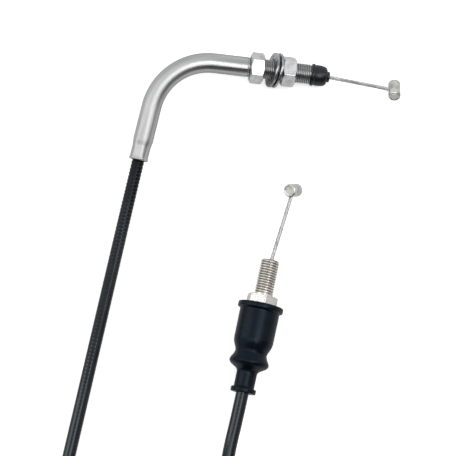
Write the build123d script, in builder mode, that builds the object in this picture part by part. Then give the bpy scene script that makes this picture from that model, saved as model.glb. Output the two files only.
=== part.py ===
from build123d import *
import os
from math import cos, pi, radians, sin, tan

# Throttle cable: an inner wire in a black sheath. The throttle end has a bent steel tube with two
# lock nuts and two washers, the carburettor end has a threaded adjuster under a rubber boot.
# Millimetres, +Z up, floor at Z = 0, origin under the middle of the two end fittings.

# ---- driving dimensions ------------------------------------------------------------------------
wire_radius = 0.75
liner_radii = (1.15, 0.90)  # outer, inner
conduit_radii = (1.70, 1.20)
sheath_radii = (2.50, 1.75)
sheath_radius = sheath_radii[0]

# throttle end: distances along its axis are measured from the elbow's corner
elbow_corner = Vector(-40.4, 65.6, 12.75)
throttle_heading = -4.6
throttle_slope = -7.5
leg_heading = 255.9
leg_slope = -9.9
leg_length = 42.35
elbow_bend_radius = 23.5
tube_radius = 4.0
tube_bore_radius = 2.4
elbow_liner_radii = (2.30, 1.00)
crimp_length = 7.3
crimp_radius = 3.65
crimp_flat = 3.45
crimp_bore_radius = 2.55
sheath_in_crimp = 10.0
thread_end = 59.7
spigot_end = 64.2
spigot_radius = 3.2
nut_across_flats = 11.0
nut_length = 5.4
nut_bore_radius = 4.03
inner_nut_start = 34.9
inner_nut_spin = 14.7
outer_nut_start = 47.7
washer_outer_radius = 7.1
washer_bore_radius = 4.3
washer_thickness = 1.0
front_washer_middle = 44.0
rear_washer_middle = 45.8
washer_cant = 11.0
washer_turn = -3.0
cap_start = 59.8
cap_length = 6.2
nose_length = 7.4
cap_heading = -6.6
cap_slope = -7.5
throttle_nipple_centre = Vector(52.2, 54.6, 4.0)
throttle_nipple_radius = 2.4
throttle_nipple_length = 7.9
throttle_nipple_heading = 267.0
throttle_nipple_lift = 30.0
nipple_waist_length = 2.6
nipple_waist_depth = 0.25

# carburettor end: distances are measured back from the tip of the adjuster's stud
stud_tip = Vector(1.8, -16.36, 9.5)
stud_heading = 78.0
stud_slope = 1.5
stud_radius = 3.5
stud_length = 14.3
stud_bore_radius = 2.1
adjuster_hex_length = 5.0
adjuster_hex_spin = -18.0
adjuster_collar_radius = 5.2
adjuster_collar_end = 30.0
ferrule_seat = 21.0
ferrule_radius = 3.5
ferrule_end = 33.0
sheath_start = 22.6
boot_start = 18.1
boot_end = 52.7
sheath_turn_out = 60.0
sheath_drift = 0.7
carburettor_nipple_centre = Vector(10.75, 11.2, 12.0)
carburettor_nipple_radius = 2.6
carburettor_nipple_length = 6.3
carburettor_nipple_axis = Vector(-0.52, -0.23, 0.82)
wire_kink_depth = 3.4
moving_wire_depth = 45.0

# sheath on the floor and its coil
floor_entry_distance = 16.85
run_heading = 257.9
straight_run = 142.0
coil_turns = 3.5
coil_outer_radius = 31.5
turn_spacing = 5.1
tie_thickness = 0.8
coil_clearance = 0.05


# ---- directions and planes ---------------------------------------------------------------------
def direction(heading, slope):
    flat = cos(radians(slope))
    return Vector(flat * cos(radians(heading)), flat * sin(radians(heading)), sin(radians(slope)))


throttle_axis = direction(throttle_heading, throttle_slope)
leg_axis = direction(leg_heading, leg_slope)
stud_axis = direction(stud_heading, stud_slope)


def across(origin, normal):
    """A plane square to normal, with its own Y as near upright as it can be."""
    return Plane(origin=origin, x_dir=Vector(0, 0, 1).cross(normal), z_dir=normal)


def lengthwise(origin, axis):
    """A plane that holds axis as its X, for profiles that are revolved about it."""
    side = Vector(0, 0, 1).cross(axis)
    return Plane(origin=origin, x_dir=axis, z_dir=axis.cross(side))


def on_throttle(distance):
    return elbow_corner + throttle_axis * distance


def on_leg(distance):
    return elbow_corner + leg_axis * distance


def behind_tip(distance):
    return stud_tip - stud_axis * distance


throttle_profile = lengthwise(elbow_corner, throttle_axis)
cap_axis = direction(cap_heading, cap_slope)
cap_origin = on_throttle(cap_start)
nose_point = cap_origin + cap_axis * nose_length
cap_profile = lengthwise(cap_origin, cap_axis)
stud_profile = lengthwise(stud_tip, stud_axis * -1)


def bend_radii(route):
    """The largest easy bend at each corner of a route: 0.45 of its shorter run."""
    radii = []
    for before, corner, after in zip(route, route[1:], route[2:]):
        turn = radians((corner - before).get_angle(after - corner))
        shorter = min((corner - before).length, (after - corner).length)
        radii.append(0.45 * shorter / tan(turn / 2))
    return radii


def save(piece, name):
    piece.part.label = name
    export_step(piece.part, f"parts/{name}.step")


def sweep_tube(name, route, radii, outer, inner=0.0):
    """A round bar or tube along straight runs joined by tangent arcs."""
    with BuildPart() as piece:
        with BuildLine() as path:
            FilletPolyline(*route, radius=radii)
        with BuildSketch(across(path.line @ 0, path.line % 0)):
            Circle(outer)
            if inner:
                Circle(inner, mode=Mode.SUBTRACT)
        sweep()
    length = sum(edge.length for edge in path.edges())
    expected = pi * (outer**2 - inner**2) * length
    print(f"{name}: length {length:.1f}, volume over section times length {piece.part.volume / expected:.4f}")
    save(piece, name)
    return length


os.makedirs("parts", exist_ok=True)


# ---- throttle end ------------------------------------------------------------------------------
crimp_start = leg_length - crimp_length
crimp_taper = 0.9

with BuildPart() as elbow_tube:
    with BuildLine() as elbow_path:
        FilletPolyline(on_leg(crimp_start), elbow_corner, on_throttle(thread_end), radius=elbow_bend_radius)
    with BuildSketch(across(elbow_path.line @ 0, elbow_path.line % 0)):
        Circle(tube_radius)
        Circle(tube_bore_radius, mode=Mode.SUBTRACT)
    sweep()
    # the swaged lower end: a short taper, then a smaller barrel pressed to six flats
    with BuildSketch(across(on_leg(crimp_start), leg_axis)):
        Circle(tube_radius)
    with BuildSketch(across(on_leg(crimp_start + crimp_taper), leg_axis)):
        Circle(crimp_radius)
    loft()
    with BuildSketch(across(on_leg(crimp_start + crimp_taper), leg_axis)):
        Circle(crimp_radius)
        RegularPolygon(crimp_flat, 6, major_radius=False, mode=Mode.INTERSECT)
    extrude(amount=crimp_length - crimp_taper)
    with BuildSketch(across(on_leg(leg_length), leg_axis)):
        Circle(crimp_bore_radius)
    extrude(amount=-crimp_length - 3.0, mode=Mode.SUBTRACT)
    # beyond the thread a smaller spigot carries the dust cap
    with BuildSketch(across(on_throttle(thread_end), throttle_axis)):
        Circle(spigot_radius)
        Circle(tube_bore_radius, mode=Mode.SUBTRACT)
    extrude(amount=spigot_end - thread_end)
save(elbow_tube, "elbow_tube")

sweep_tube(
    "elbow_liner",
    [on_leg(leg_length - sheath_in_crimp - 0.3), elbow_corner, on_throttle(thread_end - 1)],
    [elbow_bend_radius],
    *elbow_liner_radii,
)


def hex_nut(name, start, spin):
    """A lock nut with both ends chamfered, on the throttle end's thread."""
    corner_radius = nut_across_flats / 2 / cos(pi / 6)
    face_radius = nut_across_flats / 2 - 0.35
    slope = 0.5
    with BuildPart() as nut:
        with BuildSketch(across(on_throttle(start), throttle_axis)):
            RegularPolygon(nut_across_flats / 2, 6, major_radius=False, rotation=spin)
        extrude(amount=nut_length)
        with BuildSketch(throttle_profile):
            with BuildLine():
                Polyline(
                    (start, 0),
                    (start, face_radius),
                    (start + (corner_radius - face_radius) * slope, corner_radius),
                    (start + nut_length - (corner_radius - face_radius) * slope, corner_radius),
                    (start + nut_length, face_radius),
                    (start + nut_length, 0),
                    close=True,
                )
            make_face()
        revolve(axis=Axis(elbow_corner, throttle_axis), mode=Mode.INTERSECT)
        with BuildSketch(across(on_throttle(start), throttle_axis)):
            Circle(nut_bore_radius)
        extrude(amount=nut_length, mode=Mode.SUBTRACT)
    save(nut, name)


hex_nut("inner_lock_nut", inner_nut_start, inner_nut_spin)
hex_nut("outer_lock_nut", outer_nut_start, 0.0)


def plain_washer(name, middle):
    """A washer that hangs loose and leaning on the thread."""
    normal = direction(throttle_heading + washer_turn, throttle_slope - washer_cant)
    with BuildPart() as washer:
        with BuildSketch(across(on_throttle(middle), normal)):
            Circle(washer_outer_radius)
            Circle(washer_bore_radius, mode=Mode.SUBTRACT)
        extrude(amount=washer_thickness / 2, both=True)
        chamfer(washer.edges().filter_by(GeomType.CIRCLE).group_by(SortBy.RADIUS)[-1], 0.15)
    save(washer, name)


plain_washer("front_washer", front_washer_middle)
plain_washer("rear_washer", rear_washer_middle)

lip_radius = 4.5
cap_waist_radius = 4.1
cap_body_radius = 4.2
cap_shoulder_radius = 3.95
cap_bore_radius = spigot_radius + 0.22
cap_bore_depth = spigot_end - cap_start + 0.2
nose_radius = 2.15
wire_hole_radius = 1.0
with BuildPart() as dust_cap:
    with BuildSketch(cap_profile):
        with BuildLine():
            Polyline(
                (0, cap_bore_radius),
                (0, lip_radius - 0.2),
                (0.2, lip_radius),
                (0.8, lip_radius),
                (1.2, cap_waist_radius),
                (1.6, cap_waist_radius),
                (2.1, cap_body_radius),
            )
            Spline(
                (2.1, cap_body_radius),
                (cap_length - 1.1, cap_shoulder_radius),
                (cap_length, nose_radius + 0.9),
            )
            Polyline(
                (cap_length, nose_radius + 0.9),
                (cap_length + 0.1, nose_radius),
                (nose_length - 0.2, nose_radius),
                (nose_length, nose_radius - 0.3),
                (nose_length, wire_hole_radius),
                (cap_bore_depth, wire_hole_radius),
                (cap_bore_depth, cap_bore_radius),
                (0, cap_bore_radius),
            )
        make_face()
    revolve(axis=Axis(cap_origin, cap_axis))
save(dust_cap, "dust_cap")

throttle_wire_direction = (throttle_nipple_centre - nose_point).normalized()
throttle_nipple_axis = direction(throttle_nipple_heading, throttle_nipple_lift)
wire_socket_radius = wire_radius + 0.02


def barrel_nipple(name, centre, axis, wire_direction, radius, length):
    """A cast barrel, waisted at its middle, where the wire enters a blind socket from the side."""
    with BuildPart() as nipple:
        with BuildSketch(across(centre, axis)):
            Circle(radius)
        extrude(amount=length / 2, both=True)
        chamfer(nipple.edges().filter_by(GeomType.CIRCLE), 0.35)
        with BuildSketch(across(centre, axis)):
            Circle(radius + 1)
            Circle(radius - nipple_waist_depth, mode=Mode.SUBTRACT)
        extrude(amount=nipple_waist_length / 2, both=True, mode=Mode.SUBTRACT)
        with BuildSketch(across(centre, wire_direction * -1)):
            Circle(wire_socket_radius)
        extrude(amount=radius + 1, mode=Mode.SUBTRACT)
    save(nipple, name)


barrel_nipple(
    "throttle_nipple",
    throttle_nipple_centre,
    throttle_nipple_axis,
    throttle_wire_direction,
    throttle_nipple_radius,
    throttle_nipple_length,
)

sheath_inner_end = on_leg(leg_length - sheath_in_crimp)
sweep_tube(
    "throttle_wire",
    [throttle_nipple_centre, nose_point, elbow_corner, sheath_inner_end],
    [8.0, elbow_bend_radius],
    wire_radius,
)

# ---- carburettor end ---------------------------------------------------------------------------
hex_end = stud_length + adjuster_hex_length
with BuildPart() as adjuster_screw:
    with BuildSketch(across(stud_tip, stud_axis * -1)):
        Circle(stud_radius)
    extrude(amount=stud_length)
    chamfer(adjuster_screw.edges().sort_by(Axis(stud_tip, stud_axis))[-1], 0.4)
    with BuildSketch(across(behind_tip(hex_end), stud_axis)):
        RegularPolygon(nut_across_flats / 2, 6, major_radius=False, rotation=adjuster_hex_spin)
    extrude(amount=adjuster_hex_length)
    with BuildSketch(across(behind_tip(hex_end), stud_axis * -1)):
        Circle(adjuster_collar_radius)
    extrude(amount=adjuster_collar_end - hex_end)
    with BuildSketch(across(stud_tip, stud_axis * -1)):
        Circle(stud_bore_radius)
    extrude(amount=ferrule_seat, mode=Mode.SUBTRACT)
    with BuildSketch(across(behind_tip(ferrule_seat), stud_axis * -1)):
        Circle(ferrule_radius + 0.06)
    extrude(amount=adjuster_collar_end - ferrule_seat, mode=Mode.SUBTRACT)
save(adjuster_screw, "adjuster_screw")

ferrule_start = ferrule_seat + 0.1
with BuildPart() as sheath_ferrule:
    with BuildSketch(across(behind_tip(ferrule_start), stud_axis * -1)):
        Circle(ferrule_radius)
    extrude(amount=ferrule_end - ferrule_start)
    with BuildSketch(across(behind_tip(ferrule_start), stud_axis * -1)):
        Circle(conduit_radii[1])
    extrude(amount=ferrule_end - ferrule_start, mode=Mode.SUBTRACT)
    with BuildSketch(across(behind_tip(sheath_start), stud_axis * -1)):
        Circle(sheath_radius + coil_clearance)
    extrude(amount=ferrule_end - sheath_start, mode=Mode.SUBTRACT)
save(sheath_ferrule, "sheath_ferrule")

boot_flange_radius = 8.95
boot_flange_end = boot_start + 2.0
boot_body_radius = 7.8
boot_body_end = 32.4
boot_bore_radius = 6.6
waist = (37.2, 6.2)  # distance, radius
bulge = (40.9, 7.8)
sleeve_start = 44.2
sleeve_radius = 4.05
sleeve_bore_radius = 2.7
end_flange_start = boot_end - 1.9
end_flange_radius = 5.0
with BuildPart() as rubber_boot:
    with BuildSketch(stud_profile):
        with BuildLine():
            Polyline(
                (boot_start, boot_bore_radius - 0.1),
                (boot_start, boot_flange_radius - 0.2),
                (boot_start + 0.3, boot_flange_radius),
                (boot_flange_end, boot_flange_radius),
                (boot_flange_end + 0.2, boot_body_radius),
                (boot_body_end, boot_body_radius),
            )
            Spline(
                (boot_body_end, boot_body_radius),
                (34.8, 7.1),
                waist,
                (39.0, 7.0),
                bulge,
                (42.6, 6.6),
                (sleeve_start, sleeve_radius),
            )
            Polyline(
                (sleeve_start, sleeve_radius),
                (end_flange_start, sleeve_radius),
                (end_flange_start, end_flange_radius),
                (boot_end, end_flange_radius),
                (boot_end, sleeve_bore_radius),
                (sleeve_start - 1.4, sleeve_bore_radius),
                (sleeve_start - 2.4, sleeve_radius),
                (bulge[0] - 0.4, bulge[1] - 1.6),
                (waist[0], waist[1] - 1.1),
                (34.8, 5.9),
                (33.0, boot_bore_radius - 0.2),
                (boot_start + 2.0, boot_bore_radius),
                (boot_start, boot_bore_radius - 0.1),
            )
        make_face()
    revolve(axis=Axis(stud_tip, stud_axis))
save(rubber_boot, "rubber_boot")

kink_point = behind_tip(wire_kink_depth)
carburettor_wire_direction = (carburettor_nipple_centre - kink_point).normalized()
barrel_nipple(
    "carburettor_nipple",
    carburettor_nipple_centre,
    carburettor_nipple_axis.normalized(),
    carburettor_wire_direction,
    carburettor_nipple_radius,
    carburettor_nipple_length,
)
sweep_tube(
    "carburettor_wire",
    [carburettor_nipple_centre, kink_point, behind_tip(moving_wire_depth)],
    [30.0],
    wire_radius,
)

# ---- sheath: the run from the elbow to the coil ------------------------------------------------
run_direction = direction(run_heading, 0)
floor_entry = on_leg(leg_length + floor_entry_distance) + Vector(0.2, 0, 0)
coil_entry = floor_entry + run_direction * straight_run
throttle_route = [sheath_inner_end, floor_entry, coil_entry]

# ---- sheath: the coil, wound inwards on the floor and outwards on top --------------------------
coil_inner_radius = coil_outer_radius - turn_spacing * coil_turns / 2
coil_centre = coil_entry + Vector(-run_direction.Y, run_direction.X, 0) * coil_outer_radius
coil_base = tie_thickness + coil_clearance
coil_height = 2 * sheath_radius + turn_spacing
coil_inside = coil_inner_radius - sheath_radius
coil_outside = coil_outer_radius + sheath_radius
coil_axis = Axis((coil_centre.X, coil_centre.Y, 0), (0, 0, 1))
coil_section = Plane(
    origin=(coil_centre.X, coil_centre.Y, coil_base + coil_height / 2),
    x_dir=(run_direction.X, run_direction.Y, 0),
    z_dir=(-run_direction.Y, run_direction.X, 0),
)
coil_middle = (coil_inside + coil_outside) / 2
coil_width = coil_outside - coil_inside

with BuildPart() as sheath_coil:
    with BuildSketch(coil_section):
        with Locations((coil_middle, 0)):
            RectangleRounded(coil_width, coil_height, sheath_radius)
    revolve(axis=coil_axis)
save(sheath_coil, "sheath_coil")

tie_angle = 17.0
with BuildPart() as coil_tie:
    with BuildSketch(coil_section):
        with Locations((coil_middle, 0)):
            RectangleRounded(
                coil_width + 2 * (tie_thickness + coil_clearance),
                coil_height + 2 * (tie_thickness + coil_clearance),
                sheath_radius + tie_thickness,
            )
            RectangleRounded(
                coil_width + 2 * coil_clearance,
                coil_height + 2 * coil_clearance,
                sheath_radius,
                mode=Mode.SUBTRACT,
            )
    revolve(axis=coil_axis, revolution_arc=tie_angle)
save(coil_tie, "coil_tie")

# ---- sheath: the run from the coil to the adjuster ---------------------------------------------
coil_exit = coil_centre + Vector(-run_direction.Y, run_direction.X, 0) * coil_outer_radius
coil_exit = Vector(coil_exit.X, coil_exit.Y, coil_base + sheath_radius + turn_spacing)
sheath_turn = behind_tip(sheath_turn_out)
boot_side = behind_tip(78.0) - Vector(sheath_drift, 0, 0)
dip = (boot_side + coil_exit) * 0.5
dip = Vector(dip.X + 0.6, dip.Y, 3.6)
carburettor_route = [behind_tip(sheath_start + 0.1), sheath_turn, boot_side, dip, coil_exit]


def layered_sheath(end_name, route, inner_start):
    """The jacket, the steel conduit, the liner and the still wire of one run."""
    radii = bend_radii(route)
    print(end_name, "bend radii", [round(radius, 1) for radius in radii])
    last = route[-1]
    back = (route[-2] - last).normalized()
    inner_route = [*route[:-1], last + back * 8.0]
    wire_route = [inner_start, *inner_route[1:]]
    length = sweep_tube(f"{end_name}_sheath", route, radii, *sheath_radii)
    sweep_tube(f"{end_name}_conduit", inner_route, radii, *conduit_radii)
    sweep_tube(f"{end_name}_liner", inner_route, radii, *liner_radii)
    sweep_tube(f"{end_name}_still_wire", wire_route, radii, wire_radius)
    return length


throttle_length = layered_sheath("throttle_side", throttle_route, sheath_inner_end + leg_axis * 0.2)
carburettor_length = layered_sheath("carburettor_side", carburettor_route, behind_tip(moving_wire_depth + 0.2))
coil_length = 2 * pi * (coil_outer_radius + coil_inner_radius) / 2 * coil_turns
print("sheath length", round(throttle_length + coil_length + carburettor_length, 1))
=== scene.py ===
import math

import bmesh
import bpy
import numpy as np
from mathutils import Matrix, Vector, noise


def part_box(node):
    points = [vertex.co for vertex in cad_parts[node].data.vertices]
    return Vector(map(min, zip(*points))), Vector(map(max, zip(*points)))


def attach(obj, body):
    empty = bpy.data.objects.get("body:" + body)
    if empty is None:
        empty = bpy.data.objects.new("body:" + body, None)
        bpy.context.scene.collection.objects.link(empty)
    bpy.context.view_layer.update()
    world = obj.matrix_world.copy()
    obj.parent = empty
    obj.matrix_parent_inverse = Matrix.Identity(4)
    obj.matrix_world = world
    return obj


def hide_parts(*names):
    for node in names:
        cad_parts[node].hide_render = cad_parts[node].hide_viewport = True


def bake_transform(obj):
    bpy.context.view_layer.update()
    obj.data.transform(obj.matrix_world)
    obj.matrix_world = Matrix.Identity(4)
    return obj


# The looks of the throttle cable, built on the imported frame. Lengths are written in millimetres
# and turned into metres where a mesh is made.

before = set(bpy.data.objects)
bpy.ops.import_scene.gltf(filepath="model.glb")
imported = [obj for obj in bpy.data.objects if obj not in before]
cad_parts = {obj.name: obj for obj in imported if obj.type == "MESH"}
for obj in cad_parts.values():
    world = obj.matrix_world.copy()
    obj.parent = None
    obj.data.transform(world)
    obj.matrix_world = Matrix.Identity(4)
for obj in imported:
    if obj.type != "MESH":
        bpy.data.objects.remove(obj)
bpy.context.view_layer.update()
MM = 0.001


# ---- directions --------------------------------------------------------------------------------
def direction(heading, slope):
    h, s = math.radians(heading), math.radians(slope)
    return np.array((math.cos(s) * math.cos(h), math.cos(s) * math.sin(h), math.sin(s)))


def unit(v):
    v = np.asarray(v, float)
    return v / np.linalg.norm(v)


def sides_of(axis):
    """Two directions square to axis: a level one, and one as near upright as it can be."""
    level = unit(np.cross((0, 0, 1), axis))
    return level, np.cross(axis, level)


elbow_corner = np.array((-40.4, 65.6, 12.75))
throttle_heading, throttle_slope = -4.6, -7.5
throttle_axis = direction(throttle_heading, throttle_slope)
cap_axis = direction(throttle_heading - 2.0, throttle_slope)
leg_axis = direction(255.9, -9.9)
leg_length = 42.35
elbow_bend_radius = 23.5
stud_tip = np.array((1.8, -16.36, 9.5))
stud_axis = direction(78.0, 1.5)
throttle_nipple_centre = np.array((52.2, 54.6, 4.0))
carburettor_nipple_centre = np.array((10.75, 11.2, 12.0))
carburettor_nipple_axis = unit((-0.52, -0.23, 0.82))
throttle_nipple_axis = direction(267.0, 30.0)
cap_start, nose_length = 59.8, 7.4
wire_kink_depth = 3.4


def on_throttle(distance):
    return elbow_corner + throttle_axis * distance


def on_leg(distance):
    return elbow_corner + leg_axis * distance


def behind_tip(distance):
    return stud_tip - stud_axis * distance


# ---- materials ---------------------------------------------------------------------------------
noise_low, noise_high = 0.35, 0.65


class Nodes:
    """A short way to write a node tree round one Principled shader."""

    def __init__(self, name):
        self.material = bpy.data.materials.new(name)
        self.material.use_nodes = True
        self.tree = self.material.node_tree
        self.shader = self.tree.nodes["Principled BSDF"]

    def add(self, kind, **settings):
        node = self.tree.nodes.new(kind)
        for key, value in settings.items():
            setattr(node, key, value)
        return node

    def link(self, source, target):
        self.tree.links.new(source, target)

    def place(self, straightened, stretch=(1, 1, 1)):
        """Coordinates in millimetres, of the piece as it is, or as if its axis were straight."""
        if straightened:
            source = self.add("ShaderNodeAttribute", attribute_name="straight").outputs["Vector"]
            scale = stretch
        else:
            source = self.add("ShaderNodeTexCoord").outputs["Object"]
            scale = [s / MM for s in stretch]
        mapping = self.add("ShaderNodeMapping")
        mapping.inputs["Scale"].default_value = scale
        self.link(source, mapping.inputs["Vector"])
        return mapping.outputs["Vector"]

    def noise(self, where, scale, detail):
        node = self.add("ShaderNodeTexNoise")
        node.inputs["Scale"].default_value = scale
        node.inputs["Detail"].default_value = detail
        node.inputs["Roughness"].default_value = 0.55
        self.link(where, node.inputs["Vector"])
        return node.outputs["Fac"]

    def between(self, value, low, high, start=noise_low, end=noise_high):
        node = self.add("ShaderNodeMapRange")
        node.inputs["From Min"].default_value = start
        node.inputs["From Max"].default_value = end
        node.inputs["To Min"].default_value = low
        node.inputs["To Max"].default_value = high
        self.link(value, node.inputs["Value"])
        return node.outputs["Result"]

    def colours(self, value, low, high, root=None):
        node = self.add("ShaderNodeValToRGB")
        node.color_ramp.elements[0].position = noise_low
        node.color_ramp.elements[1].position = noise_high
        node.color_ramp.elements[0].color = (*low, 1)
        node.color_ramp.elements[1].color = (*high, 1)
        self.link(value, node.inputs["Fac"])
        colour = node.outputs["Color"]
        # painted shade: the colour goes towards root where the groove attribute puts a point deep in a
        # thread
        if root is not None:
            mixed = self.add("ShaderNodeMixRGB")
            mixed.inputs["Color2"].default_value = (*root, 1)
            in_groove = self.add("ShaderNodeAttribute", attribute_name="groove")
            self.link(in_groove.outputs["Fac"], mixed.inputs["Fac"])
            self.link(colour, mixed.inputs["Color1"])
            colour = mixed.outputs["Color"]
        self.link(colour, self.shader.inputs["Base Color"])

    def rough(self, value):
        self.link(value, self.shader.inputs["Roughness"])

    def bump(self, value, height_mm, under=None):
        node = self.add("ShaderNodeBump")
        node.inputs["Strength"].default_value = 1.0
        node.inputs["Distance"].default_value = height_mm * MM
        self.link(value, node.inputs["Height"])
        if under is not None:
            self.link(under, node.inputs["Normal"])
        self.link(node.outputs["Normal"], self.shader.inputs["Normal"])
        return node.outputs["Normal"]


def metal(
    name, low, high, rough_low, rough_high, grain, streak=None, bump_mm=0.01, coarse_mm=0.0, root=None,
    brushed=None,
):
    """Plated or polished steel. streak stretches its fine marks along the piece, root is a darker colour
    painted into the bottom of a thread as painted shade, and brushed is the extra roughness of the piece's
    first stretch."""
    brushed_until, bright_from = 30.0, 62.0
    made = Nodes(name)
    made.shader.inputs["Metallic"].default_value = 1.0
    fine = made.place(streak is not None, streak or (1, 1, 1))
    wide = made.place(streak is not None)
    made.colours(made.noise(fine if streak else wide, grain if streak else 0.35, 4.0), low, high, root=root)
    marks = made.between(made.noise(fine, grain, 4.0), rough_low, rough_high)
    if brushed is not None:
        parts = made.add("ShaderNodeSeparateXYZ")
        made.link(wide, parts.inputs["Vector"])
        extra = made.between(parts.outputs["Z"], brushed, 0.0, brushed_until, bright_from)
        total = made.add("ShaderNodeMath", operation="ADD")
        made.link(marks, total.inputs[0])
        made.link(extra, total.inputs[1])
        marks = total.outputs["Value"]
    made.rough(marks)
    normal = made.bump(made.noise(fine, grain * 1.7, 2.0), bump_mm)
    if coarse_mm:
        made.bump(made.noise(wide, 0.9, 2.0), coarse_mm, under=normal)
    return made.material


def rubber(name, low, high, rough_low, rough_high, grain, sheen=0.24, streak_mm=0.0, tint=(1, 1, 1)):
    """Rubber or plastic. streak_mm is the height of faint moulding lines along the piece."""
    made = Nodes(name)
    made.shader.inputs["Specular IOR Level"].default_value = sheen
    made.shader.inputs["Specular Tint"].default_value = (*tint, 1)
    where = made.place(False)
    made.colours(made.noise(where, 0.25, 5.0), low, high)
    made.rough(made.between(made.noise(where, 0.6, 4.0), rough_low, rough_high))
    normal = made.bump(made.noise(where, grain, 3.0), 0.01)
    if streak_mm:
        lines = made.place(True, (1, 1, 0.03))
        made.bump(made.noise(lines, 0.8, 2.0), streak_mm, under=normal)
    return made.material


# root here is painted shade in the grooves of the tube's thread
polished = metal(
    "polished_steel", (0.42, 0.42, 0.415), (0.68, 0.68, 0.675), 0.20, 0.32, 1.0,
    streak=(1.0, 1.0, 0.02), bump_mm=0.045, coarse_mm=0.03, root=(0.20, 0.20, 0.20), brushed=0.16,
)
zinc = metal(
    "zinc_plate", (0.64, 0.64, 0.645), (0.86, 0.86, 0.865), 0.20, 0.34, 1.2, bump_mm=0.008, coarse_mm=0.035
)
dull = metal(
    "washer_steel", (0.24, 0.24, 0.245), (0.62, 0.62, 0.62), 0.16, 0.30, 1.6, bump_mm=0.012, coarse_mm=0.03
)
# root here is painted shade in the grooves of the stud's thread
nickel = metal(
    "nickel_plate", (0.80, 0.77, 0.72), (0.95, 0.92, 0.87), 0.16, 0.28, 1.3,
    bump_mm=0.006, coarse_mm=0.02, root=(0.32, 0.29, 0.25),
)
cast = metal(
    "cast_zinc", (0.48, 0.475, 0.445), (0.84, 0.83, 0.79), 0.20, 0.36, 1.0, bump_mm=0.04, coarse_mm=0.13
)
strand_steel = metal("wire_steel", (0.48, 0.48, 0.47), (0.72, 0.72, 0.70), 0.22, 0.38, 2.5)
black_rubber = rubber(
    "black_rubber", (0.001, 0.003, 0.006), (0.003, 0.006, 0.010), 0.24, 0.34, 5.0,
    sheen=0.21, streak_mm=0.04, tint=(0.66, 0.82, 1.0),
)
cap_rubber = rubber(
    "cap_rubber", (0.004, 0.005, 0.008), (0.009, 0.010, 0.014), 0.22, 0.32, 4.0,
    sheen=0.52, tint=(0.9, 0.95, 1.0),
)
tie_rubber = rubber("tie_rubber", (0.012, 0.012, 0.013), (0.020, 0.020, 0.021), 0.5, 0.65, 4.0)
nylon = rubber("nylon", (0.70, 0.69, 0.62), (0.80, 0.79, 0.73), 0.4, 0.5, 2.0)


def sheath_plastic():
    """Black plastic with painted shade: its sheen is turned down where it comes out of the tube's lip, as if
    in the lip's shadow, and rises slowly over the next stretch.
    """
    made = Nodes("sheath_plastic")
    where = made.place(True, (1, 1, 0.05))
    plain = made.place(True)
    parts = made.add("ShaderNodeSeparateXYZ")
    made.link(plain, parts.inputs["Vector"])
    # painted shade: the sheen is dimmed at the lip and along the first 50 mm of the cord
    sheen = made.add("ShaderNodeMath", operation="MULTIPLY")
    made.link(made.between(parts.outputs["Z"], 0.15, 1.0, 10.2, 11.4), sheen.inputs[0])
    made.link(made.between(parts.outputs["Z"], 0.20, 0.42, 12.0, 50.0), sheen.inputs[1])
    made.link(sheen.outputs["Value"], made.shader.inputs["Specular IOR Level"])
    made.shader.inputs["Specular Tint"].default_value = (0.86, 0.94, 1.0, 1)
    made.colours(made.noise(plain, 0.2, 4.0), (0.004, 0.0045, 0.006), (0.009, 0.010, 0.012))
    made.rough(made.between(made.noise(where, 1.2, 3.0), 0.08, 0.15))
    made.bump(made.noise(where, 2.2, 2.0), 0.03)
    return made.material


sheath = sheath_plastic()


# ---- meshes ------------------------------------------------------------------------------------
def finish_mesh(name, vertices, faces, body, paint, straight=None, sharp=38.0, blend=None, groove=None):
    """A piece from vertices in millimetres. straight holds where each would be if the piece's axis
    were straight, and groove how deep in a thread each is, from 0 to 1."""
    mesh = bpy.data.meshes.new(name)
    mesh.from_pydata((np.asarray(vertices) * MM).tolist(), [], faces)
    if straight is not None:
        data = mesh.attributes.new("straight", "FLOAT_VECTOR", "POINT").data
        data.foreach_set("vector", np.asarray(straight, np.float32).ravel())
    if groove is not None:
        data = mesh.attributes.new("groove", "FLOAT", "POINT").data
        data.foreach_set("value", np.asarray(groove, np.float32))
    work = bmesh.new()
    work.from_mesh(mesh)
    bmesh.ops.recalc_face_normals(work, faces=work.faces)
    work.to_mesh(mesh)
    work.free()
    mesh.polygons.foreach_set("use_smooth", [True] * len(mesh.polygons))
    mesh.set_sharp_from_angle(angle=math.radians(sharp))
    mesh.materials.append(paint)
    piece = bpy.data.objects.new(name, mesh)
    bpy.context.scene.collection.objects.link(piece)
    if blend:
        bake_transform(piece)
    else:
        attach(piece, body)
    return piece


def ring_faces(count, around, loop, caps):
    """The faces between count rings of points, joined end to end if loop, or closed if caps."""
    index = np.arange(count * around).reshape(count, around)
    after = np.roll(index, -1, axis=1)
    faces = []
    for i in range(count if loop else count - 1):
        j = (i + 1) % count
        faces += np.stack([index[i], after[i], after[j], index[j]], axis=1).tolist()
    if caps:
        faces.append(index[0][::-1].tolist())
        faces.append(index[-1].tolist())
    return faces


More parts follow.
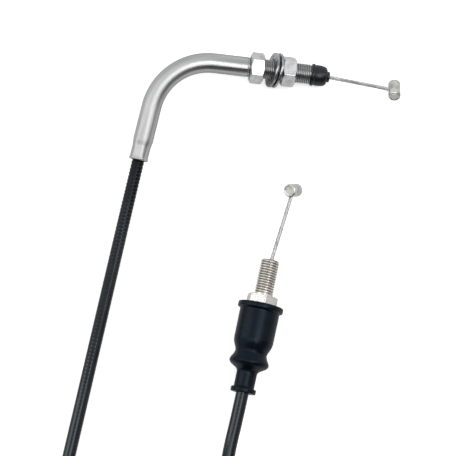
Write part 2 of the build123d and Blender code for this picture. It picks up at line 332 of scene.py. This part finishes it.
def turned(
    name, origin, axis, profile, body, paint, around=96, loop=True, roughen=0.0, shape=None, sharp=38.0
):
    """A piece made of rings along an axis. profile is a list of (distance, radius), and shape, if
    it is given, changes a ring: it takes (distance, radius, angles) and returns its radii and how
    deep in a thread each point is, from 0 to 1."""
    level, upright = sides_of(axis)
    angles = np.arange(around) * 2 * math.pi / around
    vertices, straight, grooves = [], [], []
    for distance, radius in profile:
        radii, groove = np.full(around, float(radius)), np.zeros(around)
        if shape:
            radii, groove = shape(distance, radius, angles)
        grooves.append(groove)
        for angle, r in zip(angles, radii):
            outward = level * math.cos(angle) + upright * math.sin(angle)
            point = origin + axis * distance + outward * r
            if roughen:
                shift = noise.noise(Vector(point) * 0.55) + 0.5 * noise.noise(Vector(point) * 1.3)
                point = point + outward * min(1.0, r / 0.5) * shift * roughen
            vertices.append(point)
            straight.append((r * math.cos(angle), r * math.sin(angle), distance))
    faces = ring_faces(len(profile), around, loop, not loop)
    return finish_mesh(name, vertices, faces, body, paint, straight, sharp, groove=np.concatenate(grooves))


def rounded(points, radius=0.3, steps=4):
    """The profile through points with each corner rounded off by short arcs."""
    made = []
    count = len(points)
    for i, here in enumerate(points):
        here = np.array(here, float)
        before = np.array(points[i - 1], float)
        after = np.array(points[(i + 1) % count], float)
        reach = min(radius, 0.45 * np.linalg.norm(before - here), 0.45 * np.linalg.norm(after - here))
        start, end = here + unit(before - here) * reach, here + unit(after - here) * reach
        for t in np.linspace(0, 1, steps + 1):
            made.append(tuple((1 - t) ** 2 * start + 2 * t * (1 - t) * here + t * t * end))
    return made


def spread(points, step):
    """The same profile with points added on its long stretches."""
    made = []
    for i, here in enumerate(points):
        after = points[(i + 1) % len(points)]
        pieces = max(1, int(math.dist(here, after) / step))
        for k in range(pieces):
            t = k / pieces
            made.append((here[0] + (after[0] - here[0]) * t, here[1] + (after[1] - here[1]) * t))
    return made


def hex_radius(angles, across_flats, spin, sharpness, cone):
    """The radius of a hexagon with eased edges, cut by a cone of the given radius."""
    total = np.zeros_like(angles)
    for k in range(6):
        facing = np.cos(angles - math.radians(spin + 30 + 60 * k))
        total += (np.maximum(facing, 0) / (across_flats / 2)) ** sharpness
    total += (1 / cone) ** sharpness
    return total ** (-1 / sharpness)


def thread_depth(turn_fraction):
    """0 on the crest and 1 in the root, with a flat crest, straight flanks and a round root."""
    t = 1 - np.abs(2 * (turn_fraction % 1.0) - 1)
    t = np.clip((t - 0.24) / 0.60, 0, 1)
    return t * t * (3 - 2 * t) * 0.5 + t * 0.5


# ---- throttle end: bent tube with its crimp and its thread --------------------------------------
tube_radius = 4.0
crimp_length, crimp_across_flats, crimp_corner_radius, crimp_spin = 7.3, 7.25, 3.85, 12.0
thread_start, thread_end, spigot_end = 33.2, 59.7, 64.2
tube_pitch, tube_thread_depth = 0.75, 0.36


def elbow_stations():
    """(point, direction, name of the zone, distance in the zone) from the crimp's lip to the spigot."""
    turn = math.acos(float(np.dot(-leg_axis, throttle_axis)))
    reach = elbow_bend_radius * math.tan(turn / 2)
    stations = []
    for d in (*np.arange(0, crimp_length, 0.25), *np.arange(crimp_length, leg_length - reach, 0.8)):
        stations.append((on_leg(leg_length - d), -leg_axis, "leg", d))
    normal = unit(np.cross(-leg_axis, throttle_axis))
    inward = np.cross(normal, -leg_axis)
    centre = on_leg(reach) + inward * elbow_bend_radius
    steps = 60
    for k in range(steps):
        a = turn * k / steps
        arm = -inward * math.cos(a) + -leg_axis * math.sin(a)
        ahead = -leg_axis * math.cos(a) + inward * math.sin(a)
        stations.append((centre + arm * elbow_bend_radius, ahead, "bend", elbow_bend_radius * a))
    for d in (*np.arange(reach, thread_start, 0.6), *np.arange(thread_start, thread_end, 0.0625)):
        stations.append((on_throttle(d), throttle_axis, "thread", d))
    return stations


def steel_tube():
    """The bent tube, in rings from inside the crimp, over its lip and on to inside the spigot."""
    around = 96
    angles = np.arange(around) * 2 * math.pi / around
    normal = unit(np.cross(-leg_axis, throttle_axis))
    vertices, straight, grooves, run, last = [], [], [], 0.0, None

    def ring(point, ahead, radii, groove):
        level = unit(normal)
        other = np.cross(ahead, level)
        for angle, r in zip(angles, radii):
            vertices.append(point + (level * math.cos(angle) + other * math.sin(angle)) * r)
            straight.append((r * math.cos(angle), r * math.sin(angle), run))
        grooves.append(groove)

    full, bare = np.ones(around), np.zeros(around)
    lip = on_leg(leg_length)
    for depth, radius in ((3.0, 2.53), (0.5, 2.53), (0.12, 2.62), (0.0, 2.8), (0.0, 3.1)):
        ring(lip - leg_axis * depth, -leg_axis, full * radius, bare)
    for point, ahead, zone, d in elbow_stations():
        run += 0.0 if last is None else float(np.linalg.norm(point - last))
        last = point
        radii, groove = full * tube_radius, bare
        if zone == "leg" and d < crimp_length + 1.2:
            flats = hex_radius(angles, crimp_across_flats, crimp_spin, 16.0, crimp_corner_radius)
            ease = np.clip((d - (crimp_length - 2.0)) / 3.0, 0, 1)
            ease = ease * ease * (3 - 2 * ease)
            radii = flats * (1 - ease) + radii * ease
            flare = 0.16 * math.exp(-(((d - 0.45) / 0.5) ** 2))
            rounding = 0.22 * max(0.0, 1 - d / 0.35) ** 2
            radii = radii + flare - rounding
        if zone == "thread" and d >= thread_start:
            fade = min(1.0, (d - thread_start) / (2 * tube_pitch))
            groove = fade * thread_depth(d / tube_pitch - angles / (2 * math.pi))
            radii = np.minimum(radii - tube_thread_depth * groove, 3.3 + (thread_end - d) * 1.1)
        ring(point, ahead, radii, groove)
    spigot = ((thread_end, 3.2), (spigot_end, 3.2), (spigot_end, 2.45), (thread_end - 8, 2.45))
    for d, radius in spigot:
        ring(on_throttle(d), throttle_axis, full * radius, bare)
    count = len(vertices) // around
    faces = ring_faces(count, around, False, False)
    return finish_mesh(
        "steel_tube", vertices, faces, "housing", polished, straight, 50, groove=np.concatenate(grooves)
    )


tube_piece = steel_tube()
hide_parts("elbow_tube")


# ---- nuts and washers --------------------------------------------------------------------------
nut_length, nut_across_flats = 5.4, 11.0
washer_turn, washer_lean = 3.0, 11.0


def lock_nut(name, node, start, spin, body):
    def shape(distance, radius, angles):
        radii = np.full_like(angles, radius)
        if radius > 5.0:
            edge = min(distance, nut_length - distance)
            radii = hex_radius(angles, nut_across_flats, spin, 80.0, 5.2 + 2.0 * edge)
        return radii, np.zeros_like(angles)

    side = [0.0, 0.04, 0.1, 0.18, 0.27, 0.36, 0.46, 0.58, 0.72, 0.9, 1.2, 1.8]
    side = side + [nut_length / 2] + [nut_length - d for d in reversed(side)]
    profile = [(0.45, 4.03), (0.2, 4.2), (0.0, 4.5), (0.0, 4.95)]
    profile += [(d, 6.0) for d in side]
    profile += [(nut_length, 4.95), (nut_length, 4.5)]
    profile += [(nut_length - 0.2, 4.2), (nut_length - 0.45, 4.03)]
    piece = turned(name, on_throttle(start), throttle_axis, profile, body, zinc, 288, shape=shape, sharp=60)
    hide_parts(node)


lock_nut("nut_by_the_bend", "inner_lock_nut", 34.9, 14.7, "inner_nut")
lock_nut("nut_by_the_cap", "outer_lock_nut", 47.7, 0.0, "outer_nut")


def washer(name, node, middle, body):
    normal = direction(throttle_heading - washer_turn, throttle_slope - washer_lean)
    profile = rounded([(-0.5, 4.3), (-0.5, 7.1), (0.5, 7.1), (0.5, 4.3)], 0.22, 4)
    piece = turned(name, on_throttle(middle), normal, spread(profile, 0.5), body, dull, 96, sharp=50)
    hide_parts(node)


washer("washer_by_the_bend", "front_washer", 44.0, "front_washer_ring")
washer("washer_by_the_cap", "rear_washer", 45.8, "rear_washer_ring")

# ---- dust cap ----------------------------------------------------------------------------------
cap_outline = [
    (0.0, 3.42), (0.0, 4.5), (0.9, 4.5), (1.25, 4.1), (1.6, 4.1), (2.1, 4.22), (3.6, 4.18), (4.8, 4.02),
    (5.6, 3.75), (6.05, 3.35), (6.25, 2.85), (6.35, 2.15), (7.4, 2.12), (7.4, 1.0), (4.7, 1.0), (4.7, 3.42),
]
cap_profile = spread(rounded(cap_outline, 0.3), 0.4)
cap_piece = turned(
    "dust_cap_rubber", on_throttle(cap_start), cap_axis, cap_profile, "housing", cap_rubber, around=80
)
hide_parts("dust_cap")


# ---- nipples -----------------------------------------------------------------------------------
def nipple(name, node, centre, axis, radius, length, body):
    """A cast barrel with a rim round each end and a shallow waist where the wire goes in."""
    half, rim = length / 2, radius - 0.3
    side_start, side_step, half_waist, waist_depth = 1.0, 0.1, 1.5, 0.09
    end = [(0.12, 0.02), (0.12, rim - 0.45), (0.0, rim - 0.3), (0.0, rim), (0.3, radius), (0.9, radius)]
    end = rounded([(0.12, 0.0)] + end, 0.12, 3)[4:-4]
    for k in range(int((half - side_start) / side_step)):
        inward = side_start + side_step * k
        waist = min(1.0, max(0.0, (inward - half + half_waist) * 5))
        end.append((inward, radius - waist_depth * waist))
    profile = [(d - half, r) for d, r in end] + [(half - d, r) for d, r in reversed(end)]
    piece = turned(name, centre, axis, profile, body, cast, 72, loop=False, roughen=0.022, sharp=45)
    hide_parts(node)


nose_point = on_throttle(cap_start) + cap_axis * nose_length
throttle_wire_way = unit(throttle_nipple_centre - nose_point)
nipple(
    "throttle_barrel", "throttle_nipple", throttle_nipple_centre, throttle_nipple_axis, 2.4, 7.9,
    "throttle_wire_end",
)
nipple(
    "carburettor_barrel", "carburettor_nipple", carburettor_nipple_centre, carburettor_nipple_axis, 2.6, 6.3,
    "carburettor_wire_end",
)


# ---- curves read from splines -------------------------------------------------------------------
def spline_points(name, route, steps):
    """The points of a NURBS spline whose control points are route, in millimetres."""
    curve = bpy.data.curves.new(name, "CURVE")
    curve.dimensions = "3D"
    curve.resolution_u = steps
    spline = curve.splines.new("NURBS")
    spline.points.add(len(route) - 1)
    for point, place in zip(spline.points, route):
        point.co = (*(np.asarray(place) * MM), 1)
    spline.order_u = 3
    spline.use_endpoint_u = True
    holder = bpy.data.objects.new(name, curve)
    bpy.context.scene.collection.objects.link(holder)
    bpy.context.view_layer.update()
    line = bpy.data.meshes.new_from_object(holder)
    points = np.array([v.co for v in line.vertices], float) / MM
    bpy.data.objects.remove(holder)
    bpy.data.meshes.remove(line)
    return points


def evenly(points, step):
    """The same line with points about a step apart, and how far along it each one is."""
    lengths = np.concatenate([[0], np.cumsum(np.linalg.norm(np.diff(points, axis=0), axis=1))])
    count = max(2, int(round(lengths[-1] / step)) + 1)
    at = np.linspace(0, lengths[-1], count)
    return np.stack([np.interp(at, lengths, points[:, k]) for k in range(3)], axis=1), at


def carried_frames(points):
    """A level and an upright direction at each point, carried along the line without twisting."""
    ahead = np.gradient(points, axis=0)
    ahead /= np.linalg.norm(ahead, axis=1)[:, None]
    level, upright = sides_of(ahead[0])
    frames = []
    for way in ahead:
        level = unit(level - way * np.dot(level, way))
        frames.append((level, np.cross(way, level)))
    return frames


def tube_along(name, points, at, radii, around, body, paint, **more):
    """A tube whose radius at point i and each angle is radii(i, angles)."""
    angles = np.arange(around) * 2 * math.pi / around
    vertices, straight = [], []
    for i, (point, (level, upright)) in enumerate(zip(points, carried_frames(points))):
        r = radii(i, angles)
        vertices.append(point + np.outer(np.cos(angles) * r, level) + np.outer(np.sin(angles) * r, upright))
        straight.append(np.stack([np.cos(angles) * r, np.sin(angles) * r, np.full(around, at[i])], axis=1))
    faces = ring_faces(len(points), around, False, True)
    return finish_mesh(name, np.concatenate(vertices), faces, body, paint, np.concatenate(straight), **more)


def stranded(name, node, route, start, end, bodies, lay):
    """A wire of strands laid round a core, from the housing out to the sliding end."""
    points, at = evenly(spline_points(name + "_line", route, 24), 0.35)
    frames = carried_frames(points)
    strands, strand_offset, strand_radius, core_radius = 6, 0.50, 0.262, 0.25
    around = 8
    angles = np.arange(around) * 2 * math.pi / around
    vertices, straight, faces = [], [], []
    for strand in range(strands + 1):
        offset = 0.0 if strand == strands else strand_offset
        radius = core_radius if strand == strands else strand_radius
        base = len(vertices) * around
        for point, distance, (level, upright) in zip(points, at, frames):
            turn = -2 * math.pi * (distance / lay + strand / strands)
            middle = point + (level * math.cos(turn) + upright * math.sin(turn)) * offset
            sideways = np.outer(np.cos(angles) * radius, level)
            vertices.append(middle + sideways + np.outer(np.sin(angles) * radius, upright))
            unbent = [angles * 0 + strand, angles * 0 + offset, np.full(around, distance)]
            straight.append(np.stack(unbent, axis=1))
        faces += [[base + k for k in face] for face in ring_faces(len(points), around, False, True)]
    piece = finish_mesh(
        name, np.concatenate(vertices), faces, None, strand_steel, np.concatenate(straight), 60,
        blend=(*bodies, tuple(np.asarray(start) * MM), tuple(np.asarray(end) * MM)),
    )
    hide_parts(node)


stranded(
    "throttle_strands", "throttle_wire",
    [on_throttle(50), on_throttle(57), on_throttle(64), nose_point, nose_point + throttle_wire_way * 5,
     nose_point + throttle_wire_way * 13, nose_point + throttle_wire_way * 20, throttle_nipple_centre],
    nose_point, throttle_nipple_centre - throttle_wire_way * 2.2, ("housing", "throttle_wire_end"),
    lay=11.5,
)
kink_point = behind_tip(wire_kink_depth)
carburettor_wire_way = unit(carburettor_nipple_centre - kink_point)
stranded(
    "carburettor_strands", "carburettor_wire",
    [behind_tip(16), behind_tip(9), kink_point, kink_point + carburettor_wire_way * 6,
     kink_point + carburettor_wire_way * 16, kink_point + carburettor_wire_way * 25,
     carburettor_nipple_centre],
    stud_tip, carburettor_nipple_centre - carburettor_wire_way * 2.2, ("housing", "carburettor_wire_end"),
    lay=12.5,
)

# ---- carburettor end: adjuster ------------------------------------------------------------------
stud_radius, stud_length, stud_pitch, stud_thread_depth = 3.7, 14.3, 1.0, 0.5
hex_end, hex_across_flats, hex_spin = 19.3, 11.0, -18.0
collar_end, collar_radius = 30.0, 5.2


def adjuster():
    """The threaded stud, its hexagon and its collar, in rings from the tip back."""

    def shape(distance, radius, angles):
        radii, groove = np.full_like(angles, float(radius)), np.zeros_like(angles)
        if radius == stud_radius:
            fade = float(np.clip((stud_length - 0.4 - distance) / 0.9, 0, 1))
            groove = fade * thread_depth(-distance / stud_pitch - angles / (2 * math.pi))
            radii = np.minimum(radii - stud_thread_depth * groove, 3.2 + distance)
        if radius > 6.0:
            edge = min(distance - stud_length, hex_end - distance)
            radii = hex_radius(-angles, hex_across_flats, hex_spin, 80.0, 5.75 + 2.5 * edge)
        return radii, groove

    profile = [(21.0, 2.1), (0.3, 2.1), (0.0, 2.35)]
    profile += [(d, stud_radius) for d in np.arange(0, stud_length, 0.075)]
    profile += [(stud_length, 3.4), (stud_length, 5.0)]
    steps = [0.0, 0.05, 0.12, 0.2, 0.3, 0.42, 0.56, 0.75, 1.0, 1.5]
    profile += [(stud_length + d, 6.1) for d in steps] + [(hex_end - d, 6.1) for d in reversed(steps)]
    profile += [(hex_end, collar_radius), (collar_end, collar_radius), (collar_end, 3.56), (21.0, 3.56)]
    piece = turned(
        "adjuster_steel", stud_tip, -stud_axis, profile, "adjuster", nickel, 144, shape=shape, sharp=60
    )
    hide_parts("adjuster_screw")


adjuster()

# ---- rubber boot -------------------------------------------------------------------------------
boot_mouth = [(17.9, 6.55), (17.9, 8.9), (19.9, 8.9), (20.25, 7.78)]
boot_body = [(26.0, 7.74), (32.3, 7.7), (33.5, 7.5), (34.75, 7.02), (36.0, 6.42)]
boot_waist = [(37.2, 6.15), (38.4, 6.6), (39.6, 7.3)]
boot_bulge = [(40.5, 7.72), (41.3, 7.72), (42.2, 7.05), (42.9, 5.9), (43.6, 4.7)]
boot_sleeve = [(44.4, 4.02), (46.0, 3.98), (50.8, 3.98), (50.85, 4.95), (52.7, 4.95)]
boot_inside = [(52.7, 2.7), (42.8, 2.7), (42.2, 4.0), (40.6, 6.1), (37.4, 5.1), (35.0, 5.9)]
boot_inside += [(33.0, 6.4), (25.0, 6.6)]
boot_outline = boot_mouth + boot_body + boot_waist + boot_bulge + boot_sleeve + boot_inside
boot_profile = spread(rounded(boot_outline, 0.4, 4), 0.6)
boot_piece = turned("boot_rubber", stud_tip, -stud_axis, boot_profile, "boot", black_rubber, 112, sharp=60)
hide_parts("rubber_boot")

# ---- sheath: one cord from the crimp, through the coil, to the adjuster --------------------------
run_heading = math.radians(257.9)
run_direction = np.array((math.cos(run_heading), math.sin(run_heading), 0.0))
beside_run = np.array((-run_direction[1], run_direction[0], 0.0))
coil_turns, coil_outer_radius, turn_spacing = 3.5, 31.5, 5.1
low_layer, high_layer = 3.35, 8.45
floor_entry_distance, run_length = 16.85, 142.0
floor_entry = on_leg(leg_length + floor_entry_distance) + np.array((0.2, 0, 0))
coil_entry = floor_entry + run_direction * run_length
coil_centre = coil_entry + beside_run * coil_outer_radius


def coil_route():
    """The spline's points round the coil: inward on the table, then outward one layer higher."""
    points_a_turn = 16
    climb_start, climb_turns = 1.55, 0.4
    reach = 1 / math.cos(math.pi / points_a_turn)
    route = []
    for k in range(1, int(coil_turns * points_a_turn)):
        turn = k / points_a_turn
        if turn < coil_turns / 2:
            radius = coil_outer_radius - turn_spacing * turn
        else:
            radius = coil_outer_radius - turn_spacing * (coil_turns - turn)
        angle = run_heading - math.pi / 2 + 2 * math.pi * turn
        climb = min(1.0, max(0.0, (turn - climb_start) / climb_turns))
        height = low_layer + (high_layer - low_layer) * climb
        place = (math.cos(angle) * radius * reach, math.sin(angle) * radius * reach, 0)
        route.append(np.array((coil_centre[0], coil_centre[1], height)) + np.array(place))
    return route


coil_exit = coil_centre + beside_run * coil_outer_radius
coil_exit[2] = high_layer
sheath_turn = behind_tip(60.0)
boot_side = behind_tip(78.0) - np.array((0.7, 0, 0))
dip = (boot_side + coil_exit) * 0.5 + np.array((0.6, 0, 0))
dip[2] = 3.6
sheath_inner_end = on_leg(leg_length - 10.0)
before_coil = coil_entry - run_direction * 12.0
low = np.array((1.0, 1.0, 0.0))
route = [sheath_inner_end, floor_entry, floor_entry + run_direction * 26.6]
route += [before_coil * low + np.array((0, 0, low_layer)), coil_entry * low + np.array((0, 0, low_layer))]
route += coil_route()
route += [coil_exit, dip, boot_side, sheath_turn, behind_tip(22.7)]
cord_points, cord_at = evenly(spline_points("sheath_line", route, 16), 0.3)
sheath_radius, rib_spacing, rib_depth, rib_fade = 2.5, 1.5, 0.20, 30.0


def sheath_radii(i, angles):
    """Faint rings, clearest near the crimp, where the conduit's turns show through."""
    from_crimp = cord_at[i] - 10.0
    depth = 0.015 + rib_depth * math.exp(-((max(from_crimp, 0.0) / rib_fade) ** 2))
    groove = math.cos(math.pi * cord_at[i] / rib_spacing) ** 6
    return np.full_like(angles, sheath_radius - depth * groove)


cord_piece = tube_along("sheath", cord_points, cord_at, sheath_radii, 28, "housing", sheath, sharp=80)
cord_nodes = ["sheath_coil"]
for end_name in ("throttle_side", "carburettor_side"):
    cord_nodes += [f"{end_name}_{layer}" for layer in ("sheath", "conduit", "liner", "still_wire")]
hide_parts(*cord_nodes)


def coil_band():
    """The rubber band that holds the coil, a closed strap round its turns."""
    low_corner, high_corner = (np.array(c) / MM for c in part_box("coil_tie"))
    middle = (low_corner + high_corner) / 2 - coil_centre
    centre_angle = math.atan2(middle[1], middle[0])
    inner_edge = coil_outer_radius - turn_spacing * coil_turns / 2 - sheath_radius
    outer_edge = coil_outer_radius + sheath_radius
    half_wide, half_high, half_sweep = (outer_edge - inner_edge) / 2 + 0.1, 5.05, math.radians(7.5)
    centre_radius, centre_height, corner = (inner_edge + outer_edge) / 2, 5.9, 2.4
    loop = []
    for quarter in range(4):
        cx = (half_wide - corner) * (1 if quarter in (0, 3) else -1)
        cz = (half_high - corner) * (1 if quarter in (0, 1) else -1)
        for k in range(9):
            a = math.pi / 2 * (quarter + k / 8)
            loop.append((cx, cz, math.cos(a), math.sin(a)))
    rings = []
    near_side = [(-1, 0.05), (-1, 0.5), (-0.96, 0.66), (-0.8, 0.72)]
    far_side = [(-sweep, thick) for sweep, thick in reversed(near_side)]
    for sweep, thick in near_side + [(0, 0.75)] + far_side:
        angle = centre_angle + half_sweep * sweep
        way = np.array((math.cos(angle), math.sin(angle), 0))
        ring = []
        for cx, cz, ux, uz in loop:
            radius = centre_radius + cx + ux * (corner + thick)
            height = centre_height + cz + uz * (corner + thick)
            ring.append(np.array((coil_centre[0], coil_centre[1], height)) + way * radius)
        rings.append(ring)
    vertices = np.array(rings).reshape(-1, 3)
    faces = ring_faces(len(rings), len(loop), True, False)
    return finish_mesh("coil_band", vertices, faces, "housing", tie_rubber)


band = coil_band()
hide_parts("coil_tie")
print("sheath length", float(cord_at[-1]) * MM)

for node, paint in (("elbow_liner", nylon), ("sheath_ferrule", dull)):
    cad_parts[node].data.materials.clear()
    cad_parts[node].data.materials.append(paint)

# ---- stage: floor, lights, camera ----------------------------------------------------------------
scene = bpy.context.scene
scene.view_settings.view_transform = "Standard"


def plane(name, height, shade, glow):
    """A wide level plane, height millimetres up, of one grey that glows by itself by glow."""
    wide = 3.0
    corners = [(-wide, -wide, 0), (wide, -wide, 0), (wide, wide, 0), (-wide, wide, 0)]
    mesh = bpy.data.meshes.new(name)
    mesh.from_pydata(corners, [], [(0, 1, 2, 3)])
    made = bpy.data.objects.new(name, mesh)
    scene.collection.objects.link(made)
    paint = Nodes(name + "_paint")
    paint.shader.inputs["Base Color"].default_value = (shade, shade, shade, 1)
    paint.shader.inputs["Roughness"].default_value = 0.9
    paint.shader.inputs["Specular IOR Level"].default_value = 0.1
    paint.shader.inputs["Emission Color"].default_value = (1, 1, 1, 1)
    paint.shader.inputs["Emission Strength"].default_value = glow
    mesh.materials.append(paint.material)
    made.location.z = height * MM
    return made


# The floor is the one that is seen. The metal mirrors the darker one just under it, as it would
# mirror a table outside the lit paper.
floor = plane("floor", -0.2, 0.94, 0.58)
floor.visible_diffuse = floor.visible_glossy = floor.visible_transmission = floor.visible_shadow = False
table = plane("table", -0.6, 0.74, 0.0)
table.visible_camera = False


def studio_walls(dark_way, dark, light):
    """A plain room whose wall towards dark_way is darker than the others."""
    world = bpy.data.worlds.new("studio")
    world.use_nodes = True
    tree = world.node_tree
    place = tree.nodes.new("ShaderNodeTexCoord")
    dot = tree.nodes.new("ShaderNodeVectorMath")
    dot.operation = "DOT_PRODUCT"
    dot.inputs[1].default_value = dark_way
    ramp = tree.nodes.new("ShaderNodeValToRGB")
    ramp.color_ramp.interpolation = "EASE"
    ramp.color_ramp.elements[0].position = 0.15
    ramp.color_ramp.elements[0].color = (*light, 1)
    ramp.color_ramp.elements[1].position = 0.55
    ramp.color_ramp.elements[1].color = (*dark, 1)
    tree.links.new(place.outputs["Generated"], dot.inputs[0])
    tree.links.new(dot.outputs["Value"], ramp.inputs["Fac"])
    tree.links.new(ramp.outputs["Color"], tree.nodes["Background"].inputs["Color"])
    scene.world = world


studio_walls((0.22, -0.975, 0.0), (0.08, 0.082, 0.086), (0.74, 0.745, 0.76))


def panel(name, place, aim, width, height, power):
    """A soft rectangular light at place, turned towards aim. All in metres and watts."""
    light = bpy.data.lights.new(name, "AREA")
    light.shape = "RECTANGLE"
    light.size = width
    light.size_y = height
    light.energy = power
    holder = bpy.data.objects.new(name, light)
    holder.location = place
    way = Vector(aim) - Vector(place)
    holder.rotation_mode = "QUATERNION"
    holder.rotation_quaternion = way.to_track_quat("-Z", "Y")
    scene.collection.objects.link(holder)


panel("top_softbox", (0.0, -0.17, 1.0), (0.0, -0.17, 0.0), width=1.4, height=0.34, power=1.65)
panel("front_glow", (0.29, -0.36, 0.98), (0.29, -0.36, 0.0), width=0.42, height=0.72, power=1.7)
panel("left_strip", (-0.80, 0.15, 0.58), (0, 0, 0), width=0.14, height=0.8, power=0.8)
panel("right_strip", (0.69, 0.15, 0.71), (0, 0, 0), width=0.14, height=0.8, power=0.8)

camera_aim = Vector((-14.8, -2.4, 5.0)) * MM
camera_distance, camera_elevation = 0.650, math.radians(78.0)
camera_data = bpy.data.cameras.new("camera")
camera_data.sensor_width = 36.0
camera_data.lens = 129.91
camera_data.clip_start = 0.01
camera_data.clip_end = 20.0
camera = bpy.data.objects.new("camera", camera_data)
back = Vector((0, -math.cos(camera_elevation), math.sin(camera_elevation)))
camera.location = camera_aim + back * camera_distance
camera.rotation_mode = "QUATERNION"
camera.rotation_quaternion = (-back).to_track_quat("-Z", "Y")
scene.collection.objects.link(camera)
scene.camera = camera
